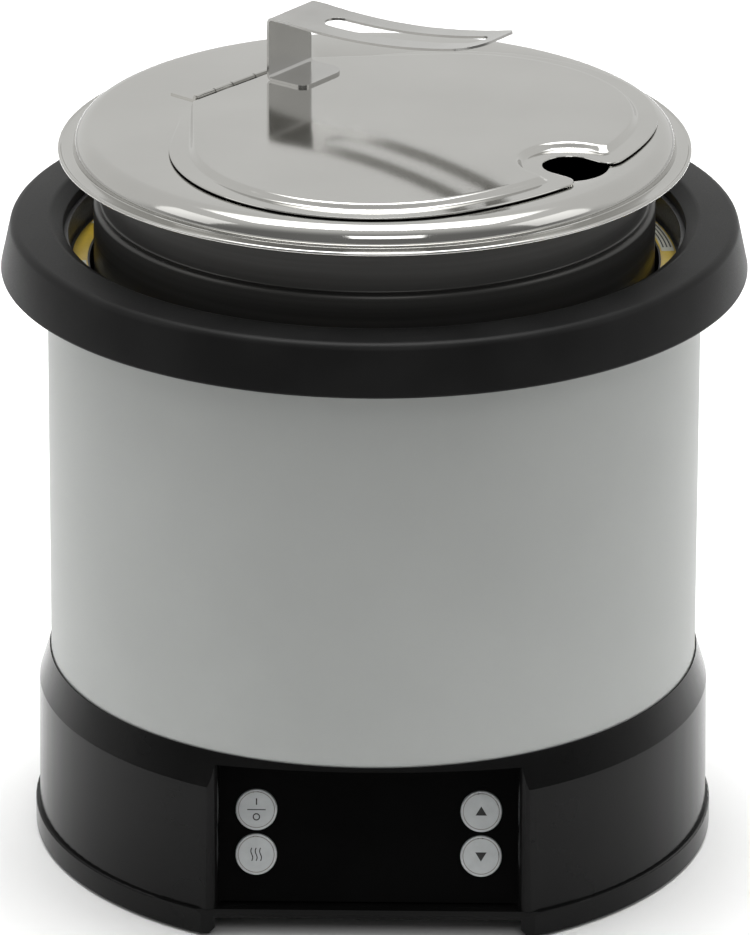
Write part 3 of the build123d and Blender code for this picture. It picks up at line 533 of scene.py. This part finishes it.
def opening_loop(grow):
    """The cover's opening under the flap, with its bulge under the notch, made wider by grow."""
    d = OPEN_IN - grow
    hole_r = HOLE_R + grow
    upper = side_half(d, True)
    lower = side_half(d, False)
    reach = nose_r - d
    meet_up = circles_meet((nose_c, 0), reach, HOLE_C, hole_r, True)
    meet_low = circles_meet((nose_c, 0), reach, HOLE_C, hole_r, False)
    up_angle = math.degrees(math.atan2(meet_up[1], meet_up[0] - nose_c))
    low_angle = math.degrees(math.atan2(meet_low[1], meet_low[0] - nose_c))
    hole_up = math.degrees(math.atan2(meet_up[1] - HOLE_C[1], meet_up[0] - HOLE_C[0]))
    hole_low = math.degrees(math.atan2(meet_low[1] - HOLE_C[1], meet_low[0] - HOLE_C[0]))
    made = upper + arc((nose_c, 0), reach, join_angle, up_angle, 12)[1:]
    made += arc(HOLE_C, hole_r, hole_up, hole_low, 24)[1:]
    made += arc((nose_c, 0), reach, low_angle, -join_angle, 12)[1:-1]
    return made + lower[:0:-1]


def inside(point, loop):
    """Whether a point lies inside a closed loop."""
    hit = False
    count = len(loop)
    for i in range(count):
        a = loop[i]
        b = loop[(i + 1) % count]
        if (a.y > point.y) != (b.y > point.y):
            if point.x < a.x + (point.y - a.y) / (b.y - a.y) * (b.x - a.x):
                hit = not hit
    return hit


def band_between(outer_loop, inner_loop, z):
    """Triangles of a level band between two loops, as vertices and faces."""
    points = [Vector((v[0], v[1])) for v in outer_loop + inner_loop]
    a = len(outer_loop)
    b = len(inner_loop)
    edges = [(i, (i + 1) % a) for i in range(a)]
    edges += [(a + i, a + (i + 1) % b) for i in range(b)]
    flat, _, faces, _, _, _ = delaunay_2d_cdt(points, edges, [], 0, 1e-6)
    inner_poly = [Vector((v[0], v[1])) for v in inner_loop]
    kept = []
    for face in faces:
        mid = sum((flat[i] for i in face), Vector((0, 0))) / len(face)
        if not inside(mid, inner_poly):
            kept.append(tuple(face))
    return [(p.x, p.y, z) for p in flat], kept


def cover_mesh():
    """The cover: a flat top with the opening, a rolled shoulder and a hemmed rim."""
    top = plate_high.z
    rim_r = 144.3
    rim_z = 334.1
    roll_r = 137.5                                  # outer radius of the rolled shoulder
    bend_r = 8.6
    flat_r = roll_r - bend_r
    skin = 1.0
    top_line = [(flat_r - 3, top)] + arc((flat_r, top - bend_r), bend_r, 90, 0, 14)
    top_line += [(roll_r, rim_z + 0.6), (roll_r + 0.2, rim_z + 0.17), (roll_r + 0.6, rim_z),
                 (rim_r - 1.4, rim_z)]
    hem = arc((rim_r - 0.7, rim_z - 0.6), 1.0, 100, -200, 18)
    low_line = [(rim_r - 2.4, rim_z - skin), (roll_r - 0.3, rim_z - skin), (roll_r - skin, rim_z - 0.3)]
    low_line += arc((flat_r, top - bend_r), bend_r - skin, 0, 90, 14) + [(flat_r - 3, top - skin)]
    outline = top_line + hem + low_line
    verts = []
    faces = []
    rows = len(outline)
    for s in range(SEGMENTS):
        a = 2 * math.pi * s / SEGMENTS
        verts += [(r * math.cos(a), r * math.sin(a), z) for r, z in outline]
    for s in range(SEGMENTS):
        here = s * rows
        there = ((s + 1) % SEGMENTS) * rows
        faces += [(here + k, there + k, there + k + 1, here + k + 1) for k in range(rows - 1)]
    guard = flat_r - 3
    circle = [(guard * math.cos(2 * math.pi * s / SEGMENTS), guard * math.sin(2 * math.pi * s / SEGMENTS))
              for s in range(SEGMENTS)]
    loops = []
    for grow, z in ((0.6, top), (0.15, top - 0.1), (0.0, top - 0.5), (0.15, top - 0.9), (0.6, top - 1.0)):
        loops.append([tuple(lid(n, t, z)) for n, t in opening_loop(grow)])
    count = len(loops[0])
    base = len(verts)
    for one in loops:
        verts += one
    for k in range(len(loops) - 1):
        for i in range(count):
            j = (i + 1) % count
            faces.append((base + k * count + i, base + k * count + j,
                          base + (k + 1) * count + j, base + (k + 1) * count + i))
    for loop, z in ((loops[0], top), (loops[-1], top - skin)):
        points, kept = band_between(circle, loop, z)
        start = len(verts)
        verts += points
        faces += [tuple(start + i for i in face) for face in kept]
    return new_piece("cover_sheet", verts, faces, "cover", cover_steel, 30.0)


cover = cover_mesh()
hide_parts("cover_plate")


# ------------------------------------------------------------------ flap handle
STRAP_TURN = math.radians(-36.0)
STRAP_HALF = 0.6                                # half the strap's thickness
STRAP_FOOT_N = -48.4                            # free end of the foot
STRAP_BACK_N = -70.1                            # outer face of the upright
STRAP_BEND_N = -60.1                            # where the blade's curve starts
STRAP_RISE = 30.4
STRAP_MIDDLE = (-5.0, 0.5)                      # n, and height above the upright's top
STRAP_TIP = (48.3, 9.7)
SLOT_N = (-47.5, 42.5)                          # the slot's two ends
strap_n = Vector((math.cos(STRAP_TURN), math.sin(STRAP_TURN), 0))
strap_side = Vector((-strap_n.y, strap_n.x, 0))


def handle_path():
    """The strap's middle line in the n, z plane, from the end of its foot to its tip."""
    low = handle_low.z + STRAP_HALF
    back_n = STRAP_BACK_N + STRAP_HALF
    high = low + STRAP_RISE - 2 * STRAP_HALF
    line = rounded([(STRAP_FOOT_N, low), (back_n, low), (back_n, high), (STRAP_BEND_N, high)],
                   [0, 2.1, 2.1, 0], steps=8, closed=False)
    first = line[-1]
    middle = (STRAP_MIDDLE[0], high + STRAP_MIDDLE[1])
    last = (STRAP_TIP[0], high + STRAP_TIP[1])
    blade = []
    steps = 40
    for k in range(1, steps + 1):
        n = first[0] + (last[0] - first[0]) * k / steps
        a = (n - middle[0]) * (n - last[0]) / ((first[0] - middle[0]) * (first[0] - last[0]))
        b = (n - first[0]) * (n - last[0]) / ((middle[0] - first[0]) * (middle[0] - last[0]))
        c = (n - first[0]) * (n - middle[0]) / ((last[0] - first[0]) * (last[0] - middle[0]))
        blade.append((n, a * first[1] + b * middle[1] + c * last[1]))
    return line + blade


def handle_mesh():
    """The bent strap with its rounded tip and long slot."""
    line = [Vector(p) for p in handle_path()]
    place = [0.0]
    for a, b in zip(line, line[1:]):
        place.append(place[-1] + (b - a).length)
    total = place[-1]
    mid_t = 26.7
    half = 16.2
    near_r = 13.0
    far_r = 4.5
    foot_near_r = 4.0
    foot_far_r = 8.0
    slot_half = 6.25

    def s_of(n_value):
        """How far along the blade it passes n_value."""
        for k in range(len(line) - 1, 0, -1):
            if line[k - 1].x <= n_value <= line[k].x:
                share = (n_value - line[k - 1].x) / (line[k].x - line[k - 1].x)
                return place[k - 1] + share * (place[k] - place[k - 1])
        raise ValueError("the strap does not reach that far")

    slot_a = s_of(SLOT_N[0])
    slot_b = s_of(SLOT_N[1])
    marks = set(round(s, 3) for s in place)
    for k in range(13):
        bow = 1 - math.cos(math.pi / 2 * k / 12)
        marks.add(round(slot_a + slot_half * bow, 3))
        marks.add(round(slot_b - slot_half * bow, 3))
        for radius in (near_r, far_r):
            marks.add(round(total - radius * bow, 3))
        marks.add(round(foot_near_r * bow, 3))
        marks.add(round(foot_far_r * bow, 3))
    spots = []
    for s in sorted(marks):
        if not spots or s - spots[-1] > 0.02:
            spots.append(s)

    def drawn_in(run, radius):
        """How far a rounded corner's edge has drawn in, run past the start of its arc."""
        return 0.0 if run <= 0 else radius - math.sqrt(max(radius ** 2 - run ** 2, 0))

    def corner(s, radius):
        """How far the edge draws in near the tip's end."""
        return drawn_in(s - (total - radius), radius)

    def foot(s, radius):
        """How far the edge draws in near the foot's end."""
        return drawn_in(radius - s, radius)

    def slot(s):
        """Half the slot's width at s."""
        if s <= slot_a or s >= slot_b:
            return 0.0
        run = max(slot_a + slot_half - s, s - (slot_b - slot_half), 0)
        return math.sqrt(max(slot_half ** 2 - run ** 2, 0))

    def at(s):
        """The middle line's point at s, and its normal."""
        k = max(i for i in range(len(place) - 1) if place[i] <= s + 1e-6)
        share = (s - place[k]) / (place[k + 1] - place[k])
        ways = []
        for i in (k, k + 1):
            a = line[max(i - 1, 0)]
            b = line[min(i + 1, len(line) - 1)]
            ways.append((b - a).normalized())
        way = ways[0].lerp(ways[1], share).normalized()
        return line[k].lerp(line[k + 1], share), Vector((-way.y, way.x))

    across = 5
    verts = []
    faces = []
    for side in (1.0, -1.0):
        for s in spots:
            middle, normal = at(s)
            spot = middle + normal * side * STRAP_HALF
            low = -half + corner(s, near_r) + foot(s, foot_near_r)
            high = half - corner(s, far_r) - foot(s, foot_far_r)
            gap = slot(s)
            for start, end in ((low, -gap), (gap, high)):
                for k in range(across + 1):
                    w = start + (end - start) * k / across
                    spot_at = strap_n * spot.x + strap_side * (mid_t + w)
                    verts.append((spot_at.x, spot_at.y, spot.y))
    row = 2 * (across + 1)
    size = len(spots) * row
    for i in range(len(spots) - 1):
        for part in (0, across + 1):
            for k in range(across):
                a = i * row + part + k
                faces.append((a, a + 1, a + row + 1, a + row))
                faces.append((size + a, size + a + row, size + a + row + 1, size + a + 1))
        for k in (0, row - 1):
            a = i * row + k
            faces.append((a, a + row, size + a + row, size + a))
        if slot(spots[i]) > 0 or slot(spots[i + 1]) > 0:
            for k in (across, across + 1):
                a = i * row + k
                faces.append((a, a + row, size + a + row, size + a))
    for i in (0, len(spots) - 1):
        for k in list(range(across)) + list(range(across + 1, row - 1)):
            a = i * row + k
            faces.append((a, a + 1, size + a + 1, size + a))
    piece = new_piece("handle_strap", verts, faces, "flap", handle_steel, 40.0)
    edge = piece.modifiers.new("edge", "BEVEL")
    edge.width = 0.3 * MM
    edge.segments = 3
    edge.limit_method = "ANGLE"
    edge.angle_limit = math.radians(50)
    edge.harden_normals = True
    return piece


handle = handle_mesh()
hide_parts("flap_handle")

# ------------------------------------------------------------------ buttons
TILT = math.radians(17.0)                       # the panel leans back by this
panel_out = Vector((0, -math.cos(TILT), math.sin(TILT)))
panel_up = Vector((0, math.sin(TILT), math.cos(TILT)))
panel_foot = Vector((0, -130.0, 12.8))
BUTTON_X = 51.2
BUTTON_LOW = 22.6
BUTTON_HIGH = 43.1
CAP_R = 9.45
CAP_PROUD = 0.6


def on_panel(x, s, out):
    """A point on the panel's axes: across, up the slope and out of its face."""
    return panel_foot + Vector((x, 0, 0)) + panel_up * s + panel_out * out


def cap(name, x, s, node, body_name):
    """A button cap: a flat face with a rounded edge."""
    outline = [(0.6, -2.0), (CAP_R, -2.0)] + arc((CAP_R - 0.7, CAP_PROUD - 0.5), 0.7, 0, 80, 6)
    outline += [(CAP_R - 1.0, CAP_PROUD + 0.2), (CAP_R - 1.3, CAP_PROUD + 0.2),
                (CAP_R - 2.5, CAP_PROUD + 0.22), (0.6, CAP_PROUD + 0.25)]
    steps = 96
    verts = []
    faces = []
    rows = len(outline)
    for i in range(steps):
        a = 2 * math.pi * i / steps
        verts += [tuple(on_panel(x + r * math.cos(a), s + r * math.sin(a), z)) for r, z in outline]
    for i in range(steps):
        here = i * rows
        there = ((i + 1) % steps) * rows
        faces += [(here + k, there + k, there + k + 1, here + k + 1) for k in range(rows - 1)]
    faces.append(tuple(i * rows for i in range(steps)))
    faces.append(tuple(i * rows + rows - 1 for i in range(steps)))
    piece = new_piece(name, verts, faces, body_name, button_grey, 30.0)
    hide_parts(node)


PRINT_OUT = CAP_PROUD + 0.25


def printed(name, x, s, body_name, shapes, material):
    """Thin raised marks on a button: each shape is a list of x, s points."""
    verts = []
    faces = []
    for shape in shapes:
        first = len(verts)
        count = len(shape)
        for out in (PRINT_OUT - 0.05, PRINT_OUT + 0.03):
            verts += [tuple(on_panel(x + px, s + ps, out)) for px, ps in shape]
        faces.append(tuple(first + k for k in range(count)))
        faces.append(tuple(first + count + k for k in range(count)))
        faces += [(first + k, first + (k + 1) % count, first + count + (k + 1) % count, first + count + k)
                  for k in range(count)]
    piece = new_piece(name, verts, faces, body_name, material, 30.0)


def circle_mark(centre, outer_r, inner_r, parts=24):
    """A ring as small four-sided shapes."""
    made = []
    for k in range(parts):
        a = 2 * math.pi * k / parts
        b = 2 * math.pi * (k + 1) / parts
        made.append([(centre[0] + r * math.cos(w), centre[1] + r * math.sin(w))
                     for r, w in ((inner_r, a), (outer_r, a), (outer_r, b), (inner_r, b))])
    return made


def bar_mark(x0, s0, x1, s1, wide):
    """A straight bar between two points."""
    way = Vector((x1 - x0, s1 - s0)).normalized() * wide / 2
    side = Vector((-way.y, way.x))
    return [(x0 - side.x, s0 - side.y), (x1 - side.x, s1 - side.y), (x1 + side.x, s1 + side.y),
            (x0 + side.x, s0 + side.y)]


def wave_mark(x, low, high):
    """A rising heat wave as short joined bars."""
    parts = 8
    points = []
    for k in range(parts + 1):
        s = low + (high - low) * k / parts
        points.append((x + 0.45 * math.sin(2 * math.pi * k / parts), s))
    return [bar_mark(*a, *b, 0.5) for a, b in zip(points, points[1:])]


BUTTONS = (("power", -BUTTON_X, BUTTON_HIGH), ("mode", -BUTTON_X, BUTTON_LOW),
           ("up", BUTTON_X, BUTTON_HIGH), ("down", BUTTON_X, BUTTON_LOW))
MARKS = {
    "power": [bar_mark(0.0, 2.2, 0.0, 5.2, 0.6), bar_mark(-4.2, 0, 4.2, 0, 0.45)]
    + circle_mark((0, -3.3), 1.7, 1.15),
    "mode": wave_mark(-2.0, -3.0, 3.0) + wave_mark(0.0, -3.0, 3.0) + wave_mark(2.0, -3.0, 3.0),
    "up": [[(-2.6, -1.8), (2.6, -1.8), (0, 2.4)]],
    "down": [[(-2.6, 1.8), (2.6, 1.8), (0, -2.4)]],
}
for word, x, s in BUTTONS:
    owner = f"{word}_button"
    cap(f"cap_{word}", x, s, f"button_{word}", owner)
    printed(f"mark_{word}", x, s, owner, MARKS[word], print_black)
    # a thin dark-grey annulus laid flat just inside each cap's edge
    printed(f"ring_{word}", x, s, owner, circle_mark((0, 0), CAP_R * 0.885, CAP_R * 0.85, 72), cap_ring_grey)


# ------------------------------------------------------------------ floor, light and camera
def floor():
    """A plain pale floor."""
    size = 6.0
    mesh = bpy.data.meshes.new("floor")
    mesh.from_pydata([(-size, -size, 0), (size, -size, 0), (size, size, 0), (-size, size, 0)], [],
                     [(0, 1, 2, 3)])
    piece = bpy.data.objects.new("floor", mesh)
    bpy.context.scene.collection.objects.link(piece)
    material = surface("floor_paper", (0.86, 0.86, 0.86), (0.88, 0.88, 0.88), (0.75, 0.85), 60, 0.02,
                       patch=2)
    mesh.materials.append(material)


floor()


def area(name, place, target, size, energy, size_y, spread=180.0):
    """A soft rectangular light, aimed at a target."""
    data = bpy.data.lights.new(name, "AREA")
    data.energy = energy
    data.shape = "RECTANGLE"
    data.size = size
    data.size_y = size_y
    data.spread = math.radians(spread)
    light = bpy.data.objects.new(name, data)
    light.location = place
    light.rotation_euler = (Vector(target) - Vector(place)).to_track_quat("-Z", "Y").to_euler()
    bpy.context.scene.collection.objects.link(light)


area("light_floor", (0.0, 0.75, 2.0), (0, 0.75, 0), 1.9, 18, 2.3, spread=70)
area("light_left", (-2.1, -0.6, 1.3), (0, 0, 0.15), 1.1, 4, 1.4)
area("light_right", (2.1, -0.6, 1.3), (0, 0, 0.15), 1.1, 4, 1.4)
area("light_front", (0.3, -3.0, 2.4), (0, 0, 0.2), 1.6, 14, 1.0)


def studio():
    """A pale dome that is brightest behind and above, and dim in front near the floor."""
    world = bpy.data.worlds.new("studio")
    bpy.context.scene.world = world
    world.use_nodes = True
    nodes = world.node_tree.nodes
    links = world.node_tree.links
    place = nodes.new("ShaderNodeTexCoord")
    split = nodes.new("ShaderNodeSeparateXYZ")
    lift = nodes.new("ShaderNodeMath")
    lift.operation = "MULTIPLY_ADD"
    lift.inputs[1].default_value = 0.6
    fade = nodes.new("ShaderNodeMapRange")
    fade.interpolation_type = "SMOOTHSTEP"
    fade.inputs["From Min"].default_value = -0.45
    fade.inputs["From Max"].default_value = 0.35
    fade.inputs["To Min"].default_value = 0.22
    fade.inputs["To Max"].default_value = 0.85
    links.new(place.outputs["Generated"], split.inputs["Vector"])
    links.new(split.outputs["Z"], lift.inputs[0])
    links.new(split.outputs["Y"], lift.inputs[2])
    links.new(lift.outputs["Value"], fade.inputs["Value"])
    links.new(fade.outputs["Result"], nodes["Background"].inputs["Strength"])
    nodes["Background"].inputs["Color"].default_value = (1, 1, 0.985, 1)


studio()

camera_data = bpy.data.cameras.new("camera")
camera = bpy.data.objects.new("camera", camera_data)
bpy.context.scene.collection.objects.link(camera)
camera_data.sensor_width = 36.0
camera_data.sensor_fit = "AUTO"
camera_data.lens = 332.1
camera_place = Vector((0.0544, -3.709, 1.6528))
camera_aim = Vector((0.0006, 0.0, 0.1754))
turn = (camera_aim - camera_place).to_track_quat("-Z", "Y").to_matrix()
roll = Matrix.Rotation(math.radians(0.18), 3, "Z")
camera.matrix_world = Matrix.Translation(camera_place) @ (turn @ roll).to_4x4()
bpy.context.scene.camera = camera
bpy.context.scene.view_settings.view_transform = "Standard"
